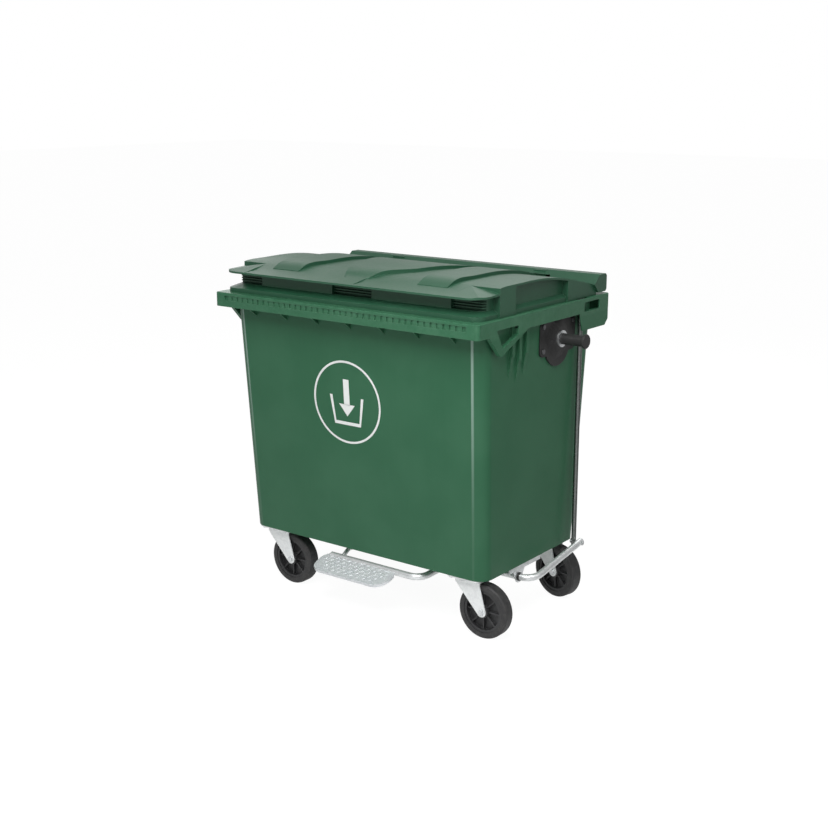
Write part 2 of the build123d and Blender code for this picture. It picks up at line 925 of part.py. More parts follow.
def middle_grip():
    """Level grip in the middle of the front lip."""
    start = lid_lip_points(-lid_lip)[0][1]
    end = lid_curve_points(-lid_lip)[1][1]
    return both_sides(strip(0, grip_ramp_half, start, end, 0, lid_lip))


def corner_space(lift, back=0):
    """Room above both front corners of the lid's top, which fold down to the sides."""
    start = lid_lip_points(lift)[0][1]
    end = lid_curve_points(lift)[1][1]
    inner = lid_half - grip_ramp_side - back
    level = strip(inner, lid_half, start, end, 0, lid_height, back)
    folded = strip(inner, lid_half, start + grip_ramp_fall, end, grip_ramp_fall, lid_height, back)
    return both_sides(level + folded)


def lid_outside():
    """Outer form of the lid without its hood."""
    plate = lid_mass(lid_half, lid_front, lid_rear, lid_bottom) - lid_under_top()
    plate += middle_grip() + corner_space(-lid_lip)
    plate = plate & lid_plan(lid_half, lid_front, lid_rear, lid_corner_radius)
    waist = lid_mass(lid_waist_half, lid_waist_front, lid_rear, lid_bottom)
    waist = waist & lid_plan(lid_waist_half, lid_waist_front, lid_rear, lid_waist_radius)
    top = plate + waist - corner_space(0)
    front = lid_pillar_front()
    pillars = lid_mass(lid_half, front, front + lid_pillar_length, lid_bottom)
    panels = lid_mass(lid_half, lid_panel_front, lid_rear, lid_bottom)
    return top + pillars + panels + lid_brim(0)


def lid_under_top():
    """Space below the top plate, a lip's thickness under the upper line."""
    return lid_mass(lid_half + overrun, lid_front - overrun, lid_rear + overrun, lid_bottom, lid_lip)


def lid_inside():
    """Hollow of the lid, open at the bottom."""
    low = lid_bottom - overrun
    rear = lid_rear - lid_wall
    waist = lid_mass(
        lid_waist_half - lid_wall, lid_waist_front + lid_wall, rear, low, lid_wall)
    column = lid_plan(
        lid_waist_half - lid_wall, lid_waist_front + lid_wall, rear, lid_waist_radius - lid_wall)
    waist = (waist & column) - corner_space(-lid_wall, lid_wall)
    front = lid_pillar_front() + lid_wall
    end = front + lid_pillar_length - 2 * lid_wall
    pillars = lid_mass(lid_half - lid_wall, front, end, low, lid_wall)
    panels = lid_mass(lid_half - lid_wall, lid_panel_front + lid_wall, rear, low, lid_wall)
    brim = lid_brim(lid_wall)
    brim += extrude(
        plan_front_rounded(
            lid_brim_half - lid_wall, lid_brim_front + lid_wall,
            lid_brim_radius - lid_wall, low), amount=overrun)
    brim = brim & block(-lid_half, lid_half, lid_front, rear, low, hood_top)
    return waist + pillars + panels + brim + fields(lid_wall)


def field_band(inset):
    """Layer between the lid's upper line and the raised line of its fields."""
    crease = lid_lip_points(0)[1]
    points = lid_curve_points(0)
    low = [(y, z - lid_wall * 2) for y, z in [crease, *points]]
    high = [(crease[0], crease[1] + field_rise * field_start_share - inset)]
    for (y, z), share in zip(points, field_rise_shares):
        high.append((y, z + field_rise * share - inset))
    outline = Wire([
        Spline(*high), Line(high[-1], low[-1]), Spline(*low[::-1]), Line(low[0], high[0])])
    return side_profile(outline, -lid_half, lid_half)


def field_column(inner, outer, inset):
    """Upright column over the right plan of a field, from its front to the hood."""
    places = [field_front_share, field_bend_share, field_wide_share, field_rear_share]
    ys = [lid_y(share) for share in places]
    ys[0] += inset
    ys[-1] -= inset
    near = [(x + inset, y) for x, y in zip(inner, ys)]
    far = [(x - inset, y) for x, y in zip(outer, ys)]
    outline = Polyline(*near, *far[::-1], close=True)
    return extrude(Pos(0, 0, lid_bottom) * make_face(outline), amount=hood_top)


def fields(inset=0):
    """Middle field and a side field on each side of it, or their hollows."""
    halves = (
        middle_field_front_half, middle_field_bend_half, middle_field_rear_half,
        middle_field_rear_half)
    middle = field_column([-half for half in halves], halves, inset)
    inner = [mix(side_field_inner_front, side_field_inner_rear, share) for share in field_side_shares]
    outer = [mix(side_field_outer_front, side_field_outer_rear, share) for share in field_side_shares]
    side = field_column(inner, outer, inset)
    return field_band(inset) & (middle + both_sides(side))


def hood_foot():
    """Height of the hood's front foot, in the middle of the lid's wall."""
    before, last = lid_curve_points(0)[-2:]
    return mix(before[1], last[1], hood_foot_share) - lid_wall / 2


def hood_back(x_points):
    """Outer line of the hood from its front foot over to its rear."""
    foot = hood_foot()
    return [
        (hood_front, foot), (hood_slope_y, hood_top), (hood_rear - hood_bevel, hood_top),
        (hood_rear, hood_top - hood_bevel), *x_points]


def hood():
    """Hood along the rear edge, open below towards the hinge, with its end caps."""
    inner_rear = hood_rear - lid_wall
    inner_top = hood_top - lid_wall
    inner_bevel = hood_bevel - lid_wall / 2
    section = hood_back((
        (hood_rear, hinge_z), (inner_rear, hinge_z), (inner_rear, inner_top - inner_bevel),
        (inner_rear - inner_bevel, inner_top), (hood_slope_y + lid_wall / 2, inner_top),
        (hood_front + hood_slope_wall, hood_foot())))
    shell = side_polygon(section, -hood_half, hood_half)
    return shell + both_sides(hood_cap())


def hood_cap():
    """Right end cap, which hangs beside the lid's rear panel."""
    bottom = rim_top + hood_end_rise
    section = hood_back((
        (hood_rear, bottom + hood_bevel), (hood_rear - hood_bevel, bottom), (lid_rear, bottom)))
    return side_polygon(section, lid_half - lid_wall, hood_half)


def hood_window(x):
    """Opening in the front of the hood at a hinge site."""
    bottom = rim_top + hood_window_rise
    return block(
        x - hood_window_width / 2, x + hood_window_width / 2, hood_front - overrun,
        hood_slope_y, bottom, bottom + hood_window_height)


def knuckle(x):
    """Knuckle of the lid between two ears."""
    start = x - hinge_knuckle_width / 2
    end = x + hinge_knuckle_width / 2
    barrel = x_cylinder(hinge_knuckle_radius, start, end, hinge_y, hinge_z)
    points = (
        (lid_rear - lid_wall / 2, hinge_z - hinge_knuckle_radius / 2),
        (lid_rear - lid_wall / 2, hood_top - lid_wall / 2),
        (hinge_y, hood_top - lid_wall / 2),
        (hinge_y + hinge_knuckle_radius, hinge_z),
        (hinge_y, hinge_z - hinge_knuckle_radius),
    )
    return barrel + side_polygon(points, start, end)


def knuckle_bore(x):
    """Bore of a knuckle for the hinge pin."""
    start = x - hinge_knuckle_width
    return x_cylinder(
        hinge_pin_radius + bore_gap, start, start + 2 * hinge_knuckle_width, hinge_y, hinge_z)


def pocket_room(inset):
    """Grip pockets behind the lip, one in the middle and one round each corner."""
    low = rim_top + pocket_rise - pocket_height - inset
    high = rim_top + pocket_rise + inset
    depth = pocket_depth + inset
    middle = block(
        -pocket_half - inset, pocket_half + inset, lid_waist_front, lid_waist_front + depth,
        low, high)
    start = lid_waist_half - pocket_side_length - inset
    corner = block(
        start, lid_waist_half, lid_waist_front, lid_waist_front + depth, low, high)
    return middle + both_sides(corner)


def pocket_lining():
    """Walls round the grip pockets, kept inside the waist."""
    column = lid_plan(lid_waist_half, lid_waist_front, lid_rear, lid_waist_radius)
    return pocket_room(lid_wall) & column


def pocket_ribs():
    """Level ribs in the grip pockets."""
    start = lid_waist_front + pocket_depth - pocket_rib_reach
    end = lid_waist_front + pocket_depth + lid_wall / 2
    side = lid_waist_half - pocket_side_length - lid_wall / 2
    row = Part()
    for index in range(pocket_rib_count):
        z = rim_top + pocket_rise - pocket_height * (index + 1) / (pocket_rib_count + 1)
        low = z - pocket_rib / 2
        high = z + pocket_rib / 2
        row += block(-pocket_half - lid_wall / 2, pocket_half + lid_wall / 2, start, end, low, high)
        row += both_sides(block(side, lid_waist_half, start, end, low, high))
    column = lid_plan(lid_waist_half, lid_waist_front, lid_rear, lid_waist_radius)
    return row & column


def lug_screw_places():
    """Two screws of the lug, in Y and Z."""
    z = (lug_foot_bottom + lug_foot_top) / 2
    reach = lug_foot_length / 4
    return [(lug_pin_y - reach, z), (lug_pin_y + reach, z)]


def make_lid():
    """Lid shell with hood, knuckles, fields and grip pockets."""
    shell = lid_outside() + fields() - lid_inside()
    shell += hood()
    shell += pocket_lining()
    shell -= pocket_room(0)
    shell -= both_sides(hood_window(hinge_site_x))
    shell += pocket_ribs()
    shell += both_sides(knuckle(hinge_site_x))
    shell -= both_sides(knuckle_bore(hinge_site_x))
    end = lid_half - lug_screw_cover
    for y, z in lug_screw_places():
        shell -= x_cylinder(lug_screw_radius + bore_gap, lid_waist_half, end, y, z)
    return shell


def make_hinge_pins():
    """Headed pins, one at each hinge site."""
    reach = hinge_ear_offset() + hinge_ear_width / 2
    shank = x_cylinder(
        hinge_pin_radius, hinge_site_x - reach, hinge_site_x + reach, hinge_y, hinge_z)
    head = x_cylinder(
        hinge_pin_head_radius, hinge_site_x + reach, hinge_site_x + reach + hinge_pin_head,
        hinge_y, hinge_z)
    tail = x_cylinder(
        hinge_pin_head_radius, hinge_site_x - reach - hinge_pin_head, hinge_site_x - reach,
        hinge_y, hinge_z)
    pin = shank + head + tail
    parts["hinge_pins"] = Compound(children=[pin, mirrored(pin)])


def caster_frame(place):
    """Location that puts a caster at its place and rest angle."""
    x, y, angle = place
    return Pos(x, y, 0) * Rot(0, 0, angle)


def caster_plate():
    """Top plate with bolt holes, the ball race and the hole of the king pin."""
    outline = RectangleRounded(caster_plate_length, caster_plate_width, caster_plate_radius)
    plate = extrude(Pos(0, 0, plate_bottom_z) * outline, amount=caster_plate_thickness)
    for side in (-1, 1):
        for end in (-1, 1):
            plate -= z_cylinder(
                caster_bolt_radius + bore_gap, side * caster_bolt_x(), end * caster_bolt_y(),
                plate_bottom_z - overrun, base_height + overrun)
    race = z_cylinder(race_radius, 0, 0, plate_bottom_z - race_drop, plate_bottom_z)
    race -= z_cylinder(
        race_radius - race_wall, 0, 0, plate_bottom_z - race_drop - overrun, plate_bottom_z)
    hole = z_cylinder(
        kingpin_radius + bore_gap, 0, 0, plate_bottom_z - overrun, base_height + overrun)
    return plate + race - hole


def tangent_angle(x, z, centre_x, centre_z, radius, side):
    """Angle of the touching point on a circle, seen from an outside point."""
    away = math.atan2(z - centre_z, x - centre_x)
    distance = math.hypot(x - centre_x, z - centre_z)
    return away + side * math.acos(radius / distance)


def fork_leg_outline():
    """Leg of the fork, from the crown down round the axle."""
    shoulder_z = crown_top - fork_shoulder
    front = tangent_angle(
        -fork_front_reach, shoulder_z, caster_trail, wheel_radius, fork_tip_radius, 1)
    rear = tangent_angle(fork_rear, shoulder_z, caster_trail, wheel_radius, fork_tip_radius, -1)
    front_touch = (
        caster_trail + fork_tip_radius * math.cos(front),
        wheel_radius + fork_tip_radius * math.sin(front))
    rear_touch = (
        caster_trail + fork_tip_radius * math.cos(rear),
        wheel_radius + fork_tip_radius * math.sin(rear))
    bottom = (caster_trail, wheel_radius - fork_tip_radius)
    sides = Polyline(
        rear_touch, (fork_rear, shoulder_z), (fork_rear, crown_top),
        (-fork_front_reach, crown_top), (-fork_front_reach, shoulder_z), front_touch)
    tip = ThreePointArc(front_touch, bottom, rear_touch)
    return make_face(Wire([*sides.edges(), tip]))


def caster_fork():
    """Pressed fork: crown, two legs and the inner race."""
    half = fork_gap / 2 + fork_wall
    face = Plane.XZ.offset(-half) * fork_leg_outline()
    legs = extrude(face, amount=2 * half, dir=(0, -1, 0))
    legs -= block(
        -fork_front_reach - overrun, caster_trail + wheel_radius, -fork_gap / 2, fork_gap / 2,
        0, crown_bottom)
    crown = z_cylinder(crown_radius, 0, 0, crown_bottom, crown_top)
    boss = z_cylinder(
        race_radius - race_wall - seat_gap, 0, 0, crown_top, plate_bottom_z - seat_gap)
    bore = z_cylinder(kingpin_radius + bore_gap, 0, 0, crown_bottom - overrun, base_height)
    axle_face = Plane.XZ.offset(-2 * half) * Pos(caster_trail, wheel_radius) * Circle(
        axle_radius + bore_gap)
    axle_bore = extrude(axle_face, amount=4 * half, dir=(0, -1, 0))
    return legs + crown + boss - bore - axle_bore


def kingpin():
    """King pin from the top plate to its head below the crown."""
    shank = z_cylinder(kingpin_radius, 0, 0, crown_bottom - seat_gap, base_height)
    head = z_cylinder(
        kingpin_head_radius, 0, 0, crown_bottom - seat_gap - kingpin_head,
        crown_bottom - seat_gap)
    return shank + head


def y_cylinder(radius, y_start, y_end):
    """Cylinder about the wheel axis between two places in Y."""
    face = Plane.XZ.offset(-y_end) * Pos(caster_trail, wheel_radius) * Circle(radius)
    return extrude(face, amount=y_end - y_start, dir=(0, -1, 0))


def axle_set():
    """Axle bolt and its nut."""
    outer = fork_gap / 2 + fork_wall
    shank = y_cylinder(axle_radius, -outer, outer + axle_nut_height)
    head = y_cylinder(axle_head_radius, -outer - axle_head, -outer)
    hexagon = RegularPolygon(axle_head_radius, 6) - Circle(axle_radius + bore_gap)
    nut_face = Plane.XZ.offset(-outer - axle_nut_height) * Pos(caster_trail, wheel_radius) * hexagon
    nut = extrude(nut_face, amount=axle_nut_height, dir=(0, -1, 0))
    return Compound(children=[shank + head, nut])


def wheel_core():
    """Plastic wheel centre with hub, web, spokes and rim."""
    rim_ring = y_cylinder(tyre_inner_radius, -core_rim_width / 2, core_rim_width / 2)
    rim_ring -= y_cylinder(
        tyre_inner_radius - core_rim_wall, -core_rim_width, core_rim_width)
    web_disc = y_cylinder(tyre_inner_radius - core_rim_wall / 2, -core_web / 2, core_web / 2)
    hub = y_cylinder(core_hub_radius, -core_hub_width / 2, core_hub_width / 2)
    spokes = Part()
    reach = tyre_inner_radius - core_rim_wall / 2
    for index in range(core_spoke_count):
        spoke = block(
            0, reach, -core_spoke_depth / 2, core_spoke_depth / 2,
            -core_spoke_width / 2, core_spoke_width / 2)
        turn = Rot(0, index * 360 / core_spoke_count, 0)
        spokes += Pos(caster_trail, 0, wheel_radius) * turn * spoke
    core = rim_ring + web_disc + hub + spokes
    return core - y_cylinder(axle_radius + bore_gap, -core_hub_width, core_hub_width)


def tyre():
    """Solid rubber tyre with rounded shoulders."""
    half = tyre_width / 2
    section = Pos(
        (wheel_radius + tyre_inner_radius) / 2, 0) * Rectangle(
        wheel_radius - tyre_inner_radius, tyre_width)
    outer_corners = section.vertices().group_by(Axis.X)[-1]
    section = fillet(outer_corners, min(tyre_shoulder, half))
    ring = revolve(Plane.XY * section, Axis.Y)
    return Pos(caster_trail, 0, wheel_radius) * ring


def make_casters():
    """Four swivel casters, each of a plate, king pin, fork, axle set, core and tyre."""
    pieces = {
        "caster_plate": caster_plate(),
        "caster_kingpin": kingpin(),
        "caster_fork": caster_fork(),
        "caster_axle": axle_set(),
        "wheel_core": wheel_core(),
        "wheel_tyre": tyre(),
    }
    still = ("caster_plate", "caster_kingpin")
    for corner, (x, y, angle) in caster_places().items():
        for name, piece in pieces.items():
            turn = 0 if name in still else angle
            parts[f"{name}_{corner}"] = caster_frame((x, y, turn)) * piece


def make_caster_bolts():
    """Bolts that hold the caster plates to the floor of the tub."""
    floor_top = base_height + tub_floor
    nut_top = plate_bottom_z
    bolts = []
    for x, y in caster_bolt_places():
        shank = z_cylinder(caster_bolt_radius, x, y, nut_top - caster_nut_height, floor_top)
        head = z_cylinder(
            caster_bolt_head_radius, x, y, floor_top, floor_top + caster_bolt_head_height)
        nut = extrude(
            Pos(x, y, nut_top - caster_nut_height) * RegularPolygon(caster_nut_radius, 6),
            amount=caster_nut_height)
        bolts.append(shank + head + nut)
    parts["caster_bolts"] = Compound(children=bolts)


def tube_along(path, radius, wall=0):
    """Round bar or tube along a path."""
    start = path ^ 0
    section = Circle(radius)
    if wall > 0:
        section -= Circle(radius - wall)
    return sweep(start * section, path=path)


def arm_x():
    """Place of the side arm in X, outside the tub and beside the rod."""
    return rod_x() + rod_radius + arm_side_gap + tube_radius


def shaft_path():
    """Line of the shaft and its side arm."""
    return FilletPolyline(
        (shaft_left, shaft_y, shaft_z),
        (arm_x(), shaft_y, shaft_z),
        (arm_x(), rod_pin_y + arm_tail, base_height + arm_rear_rise),
        radius=arm_bend)


def front_tube_path():
    """Line of the front tube, from under the foot plate back to the shaft."""
    return FilletPolyline(
        (front_tube_left, front_tube_y, front_tube_z),
        (front_tube_x, front_tube_y, front_tube_z),
        (front_tube_x, shaft_y, shaft_z),
        radius=front_tube_bend)


def left_arm_path():
    """Line of the left arm, over from the front tube to the shaft."""
    return FilletPolyline(
        (left_arm_x, front_tube_y, front_tube_z),
        (left_arm_x, front_tube_y + left_arm_lead, front_tube_z + left_arm_rise),
        (left_arm_x, shaft_y, shaft_z),
        radius=left_arm_bend)


def foot_plate():
    """Sloping foot plate with a turned-down edge."""
    run = front_tube_y - foot_front
    slope = math.degrees(math.atan2(foot_rear_z - foot_front_z, run))
    length = math.hypot(foot_rear_z - foot_front_z, run)
    width = foot_right - foot_left
    outline = Rectangle(width, length)
    front = outline.vertices().group_by(Axis.Y)[0].sort_by(Axis.X)
    outline = fillet(front[0], foot_left_radius)
    front_right = outline.vertices().group_by(Axis.Y)[0].sort_by(Axis.X)[-1]
    outline = fillet(front_right, foot_right_radius)
    rear_left = outline.vertices().group_by(Axis.Y)[-1].sort_by(Axis.X)[0]
    outline = fillet(rear_left, foot_left_radius)
    shell = extrude(outline, amount=-foot_skirt)
    hollow = extrude(Pos(0, 0, -foot_wall) * offset(outline, -foot_wall), amount=-foot_skirt)
    rear_room = block(
        -width, width, length / 2 - 2 * tube_radius, length, -2 * foot_skirt, -foot_wall)
    middle = (
        (foot_left + foot_right) / 2, (foot_front + front_tube_y) / 2,
        (foot_front_z + foot_rear_z) / 2)
    return Pos(*middle) * Rot(slope, 0, 0) * (shell - hollow - rear_room)


def make_pedal():
    """Shaft with side arm, front tube, left arm and foot plate, welded to each other."""
    shaft_line = shaft_path()
    shaft = tube_along(shaft_line, tube_radius, tube_wall)
    shaft_core = tube_along(shaft_line, tube_radius)
    front_line = front_tube_path()
    front_core = tube_along(front_line, tube_radius)
    front = tube_along(front_line, tube_radius, tube_wall) - shaft_core
    left_arm = tube_along(left_arm_path(), left_arm_radius) - shaft_core - front_core
    pin_bore = x_cylinder(
        rod_pin_radius + bore_gap, arm_x() - 2 * tube_radius, arm_x() + 2 * tube_radius,
        rod_pin_y, rod_pin_z)
    parts["pedal_shaft"] = shaft - pin_bore
    parts["pedal_front_tube"] = front
    parts["pedal_left_arm"] = left_arm
    parts["pedal_foot_plate"] = foot_plate() - front_core - tube_along(left_arm_path(), left_arm_radius)


def bush_radius():
    """Outer radius of the bushes in the hangers."""
    return tube_radius + bore_gap + bush_wall


def hanger(x, front, length):
    """Angle bracket under the floor, with the eye for a bush of the shaft."""
    flange = block(
        x - hanger_width, x + hanger_wall / 2, front, front + length,
        base_height - hanger_wall, base_height)
    lip_points = (
        (front, base_height),
        (front, base_height - 4 * hanger_wall),
        (front + length, base_height - 4 * hanger_wall),
        (front + length, base_height),
    )
    start = x - hanger_wall / 2
    end = x + hanger_wall / 2
    lip = side_polygon(lip_points, start, end)
    web_points = (
        (shaft_y - 2 * hanger_eye_radius, base_height),
        (shaft_y - hanger_eye_radius, shaft_z),
        (shaft_y + hanger_eye_radius, shaft_z),
        (shaft_y + 2 * hanger_eye_radius, base_height),
    )
    leg = side_polygon(web_points, start, end)
    eye = x_cylinder(hanger_eye_radius, start, end, shaft_y, shaft_z)
    bore = x_cylinder(bush_radius(), start - overrun, end + overrun, shaft_y, shaft_z)
    for y in (front + hanger_bolt_inset, front + length - hanger_bolt_inset):
        flange -= z_cylinder(
            hanger_bolt_radius + bore_gap, x - hanger_width / 2, y,
            base_height - 2 * hanger_wall, base_height + overrun)
    return flange + lip + leg + eye - bore


def bush(x):
    """Plastic bush with a lip, in the eye of a hanger."""
    sleeve = x_cylinder(bush_radius(), x - bush_width / 2, x + bush_width / 2, shaft_y, shaft_z)
    lip_start = x - hanger_wall / 2 - bush_lip
    lip = x_cylinder(
        bush_radius() + bush_wall, lip_start, lip_start + bush_lip, shaft_y, shaft_z)
    bore = x_cylinder(
        tube_radius + bore_gap, x - bush_width, x + bush_width, shaft_y, shaft_z)
    return sleeve + lip - bore


def make_hangers():
    """Three hangers with their bushes and bolts."""
    bushes = []
    for name, (x, front, length) in hanger_places().items():
        parts[f"pedal_hanger_{name}"] = hanger(x, front, length)
        bushes.append(bush(x))
    parts["pedal_bushes"] = Compound(children=bushes)
    bolts = []
    floor_top = base_height + tub_floor
    flange_low = base_height - hanger_wall
    for x, y in hanger_bolt_places():
        shank = z_cylinder(hanger_bolt_radius, x, y, flange_low, floor_top)
        head = z_cylinder(
            hanger_bolt_head_radius, x, y, floor_top, floor_top + hanger_bolt_head_height)
        nut = extrude(
            Pos(x, y, flange_low - hanger_bolt_head_height) * RegularPolygon(
                hanger_bolt_head_radius, 6), amount=hanger_bolt_head_height)
        bolts.append(shank + head + nut)
    parts["pedal_hanger_bolts"] = Compound(children=bolts)


def rod_slot_y():
    """Middle of the slot in the rod head."""
    return lug_pin_y - rod_slot_length / 2 + rod_pin_radius + rod_slot_shift


def make_rod():
    """Lift rod with its slotted head, and the pin at its lower end."""
    x = rod_x()
    bottom = rod_pin_z - rod_foot
    head_bottom = lug_pin_z - rod_head_below
    rod = z_cylinder(rod_radius, x, rod_pin_y, bottom, head_bottom)
    pin_bore = x_cylinder(
        rod_pin_radius + bore_gap, x - 2 * rod_radius, x + 2 * rod_radius, rod_pin_y, rod_pin_z)
    parts["lift_rod"] = rod - pin_bore
    head_top = lug_pin_z + rod_head_above
    slot_z = lug_pin_z - rod_slot_drop
    blade = Pos(rod_slot_y(), (head_bottom + head_top) / 2) * RectangleRounded(
        rod_head_width, head_top - head_bottom, rod_head_above)
    slot = Pos(rod_slot_y(), slot_z) * SlotOverall(rod_slot_length, rod_slot_height)
    face = Plane.YZ.offset(x - rod_head_thickness / 2) * (blade - slot)
    parts["lift_rod_head"] = extrude(face, amount=rod_head_thickness, dir=(1, 0, 0))
    inner = x - rod_radius
    outer = arm_x() + tube_radius
    pin = x_cylinder(rod_pin_radius, inner, outer, rod_pin_y, rod_pin_z)
    pin += x_cylinder(rod_pin_head_radius, outer, outer + rod_pin_head, rod_pin_y, rod_pin_z)
    pin += x_cylinder(
        rod_pin_head_radius, inner - rod_gap - rod_pin_head, inner - rod_gap, rod_pin_y, rod_pin_z)
    pin += x_cylinder(rod_pin_radius, inner - rod_gap, inner, rod_pin_y, rod_pin_z)
    parts["rod_pin"] = pin


def make_lug():
    """Steel lug inside the lid that the rod lifts, with its pin and screws."""
    outer = lid_half - lid_wall
    inner = outer - lug_thickness
    foot = block(
        inner, outer, lug_pin_y - lug_foot_length / 2, lug_pin_y + lug_foot_length / 2,
        lug_foot_bottom, lug_foot_top)
    stem_points = (
        (lug_pin_y - lug_eye_radius, lug_pin_z),
        (lug_pin_y + lug_eye_radius, lug_pin_z),
        (lug_pin_y + lug_foot_length / 2, lug_foot_bottom),
        (lug_pin_y - lug_foot_length / 2, lug_foot_bottom),
    )
    stem = side_polygon(stem_points, inner, outer)
    eye = x_cylinder(lug_eye_radius, inner, outer, lug_pin_y, lug_pin_z)
    lug = foot + stem + eye
    for y, z in lug_screw_places():
        lug -= x_cylinder(lug_screw_radius + bore_gap, inner - overrun, outer + overrun, y, z)
    lug -= x_cylinder(
        rod_pin_radius + bore_gap, inner - overrun, outer + overrun, lug_pin_y, lug_pin_z)
    parts["lid_lug"] = lug
    end = outer + 2 * rod_gap + rod_head_thickness
    head = lug_screw_head
    pin = x_cylinder(rod_pin_radius, inner, end, lug_pin_y, lug_pin_z)
    pin += x_cylinder(rod_pin_head_radius, inner - head, inner, lug_pin_y, lug_pin_z)
    pin += x_cylinder(rod_pin_head_radius, end, end + head, lug_pin_y, lug_pin_z)
    parts["lid_lug_pin"] = pin
    screws = []
    for y, z in lug_screw_places():
        screw = x_cylinder(lug_screw_radius, inner - head, lid_half - lug_screw_cover, y, z)
        screw += x_cylinder(lug_screw_head_radius, inner - head, inner, y, z)
        screws.append(screw)
    parts["lid_lug_screws"] = Compound(children=screws)


parts["tub"] = make_tub()
parts["lid"] = make_lid()
make_trunnions()
make_hinge_pins()
make_casters()
make_caster_bolts()
make_pedal()
make_hangers()
make_rod()
make_lug()

os.makedirs("parts", exist_ok=True)
for name, shape in parts.items():
    export_step(shape, f"parts/{name}.step")
    print(name, len(shape.solids()), round(shape.volume / 1000))
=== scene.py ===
"""Wheeled waste container with a pedal, in a plain pale studio."""
import json
import math

import bmesh
import bpy
from mathutils import Matrix, Vector


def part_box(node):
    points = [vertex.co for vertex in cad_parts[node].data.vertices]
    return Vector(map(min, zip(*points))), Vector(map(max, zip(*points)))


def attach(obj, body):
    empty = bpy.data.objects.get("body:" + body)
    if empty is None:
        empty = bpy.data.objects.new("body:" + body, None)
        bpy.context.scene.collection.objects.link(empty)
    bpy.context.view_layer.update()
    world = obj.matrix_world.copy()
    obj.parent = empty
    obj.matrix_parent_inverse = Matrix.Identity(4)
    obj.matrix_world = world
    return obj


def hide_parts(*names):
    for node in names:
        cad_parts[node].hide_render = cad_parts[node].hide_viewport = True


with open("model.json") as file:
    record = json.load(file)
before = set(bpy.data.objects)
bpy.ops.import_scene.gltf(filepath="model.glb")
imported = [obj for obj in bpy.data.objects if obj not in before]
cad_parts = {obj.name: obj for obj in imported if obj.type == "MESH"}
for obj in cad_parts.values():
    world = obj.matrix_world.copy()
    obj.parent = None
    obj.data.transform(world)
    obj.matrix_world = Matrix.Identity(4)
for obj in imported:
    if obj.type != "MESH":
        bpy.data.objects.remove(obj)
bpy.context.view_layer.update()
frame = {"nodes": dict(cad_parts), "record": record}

# Sizes in metres, taken from the construction
BASE_HEIGHT = 0.220
RIM_TOP = 1.147
WALL_FRONT_LOW = -0.309
WALL_FRONT_HIGH = -0.365
FOOT_PLATE_FRONT_Z = 0.146
FOOT_PLATE_REAR_Z = 0.181
FOOT_PLATE_RUN = 0.097
FOOT_PLATE_MIDDLE_Y = -0.3515
FOOT_PLATE_MIDDLE_Z = 0.1635

# Printed emblem on the front wall, in metres about the middle of its ring
RING_CENTRE_X = -0.033
RING_CENTRE_Z = 0.788
RING_RADIUS = 0.154
RING_WIDTH = 0.008
RING_SEGMENTS = 96
PRINT_RISE = 0.0003
PRINT_GAP = 0.0002
BOX_FLOOR = ((-0.060, -0.085), (0.060, -0.085), (0.054, -0.073), (-0.054, -0.073))
BOX_LEFT_SIDE = ((-0.060, -0.085), (-0.054, -0.073), (-0.066, 0.022), (-0.078, 0.022))
BOX_RIGHT_SIDE = ((0.060, -0.085), (0.078, 0.022), (0.066, 0.022), (0.054, -0.073))
ARROW_SHAFT = ((-0.013, -0.010), (0.013, -0.010), (0.013, 0.085), (-0.013, 0.085))
ARROW_HEAD = ((0.0, -0.052), (0.036, -0.008), (-0.036, -0.008))

# Lozenges of the foot plate, in metres and degrees
LOZENGE_PITCH = 0.0145
LOZENGE_ROW_PITCH = 1.15 * LOZENGE_PITCH
LOZENGE_ROWS = 5
LOZENGE_HALF_SIZE = (0.0075, 0.0024, 0.0014)
LOZENGE_TURN = 45
FULL_COLUMNS_HALF = 0.125
CORNER_ROWS_Y = -0.015

# Looks of the finishes: lengths in metres, colours linear
# Pale band round the rim, painted sheen with patchy scuffs: its foot and head heights
RIM_SHEEN_FOOT = 1.080
RIM_SHEEN_HEAD = 1.092
# Painted highlight down the front wall's round corners: heights over which it grows brighter, and
# its pale colour
PAINTED_HIGHLIGHT_FOOT = 0.30
PAINTED_HIGHLIGHT_HEAD = 1.10
PAINTED_HIGHLIGHT_COLOUR = (0.30, 0.42, 0.36, 1)
# Pale edges, partly wear and partly painted highlight: their width, and how much paler they are
WEAR_AND_HIGHLIGHT_RADIUS = 0.0030
WEAR_AND_HIGHLIGHT_GAIN = 1.2
WEAR_AND_HIGHLIGHT_LIFT = 0.06
PLASTIC_EDGE_RADIUS = 0.0012
ZINC_EDGE_RADIUS = 0.0006
RUBBER_EDGE_RADIUS = 0.001
GRAIN_DEPTH = 0.0003
WAVE_DEPTH = 0.004
BEVEL_SAMPLES = 4

# Sockets of the colour mixing node
MIX_FIRST = 6
MIX_SECOND = 7
MIX_RESULT = 2

# Finish of each material slot, and of the pieces that look different from it
FINISH_OF_SLOT = {
    "body_green": "body", "lid_green": "lid", "black_plastic": "black",
    "wheel_plastic": "wheel", "tyre_rubber": "tyre", "zinc_steel": "zinc",
    "tread_plate": "tread", "bush_plastic": "black",
}
FINISH_OF_PART = {
    "caster_fork": "bright", "caster_plate": "bright", "trunnion_screws": "dull",
    "lift_rod": "rod", "pedal_shaft": "tube", "pedal_front_tube": "tube",
    "pedal_left_arm": "tube",
}

# How meshes are joined and shaded. A lean is a part of a face's normal: its upward
# part for UPWARD_LEAN, and its sideways part for the other two.
CURVED_PARTS = ("lid",)
SAME_PLACE = 0.00001
FLAT_ANGLE = math.radians(0.4)
SMOOTH_ANGLE = math.radians(32)
UPWARD_LEAN = 0.3
PLAIN_LEAN = 0.02
FLANK_LEAN = 0.06
FLAT_FACE_WEIGHT = 90

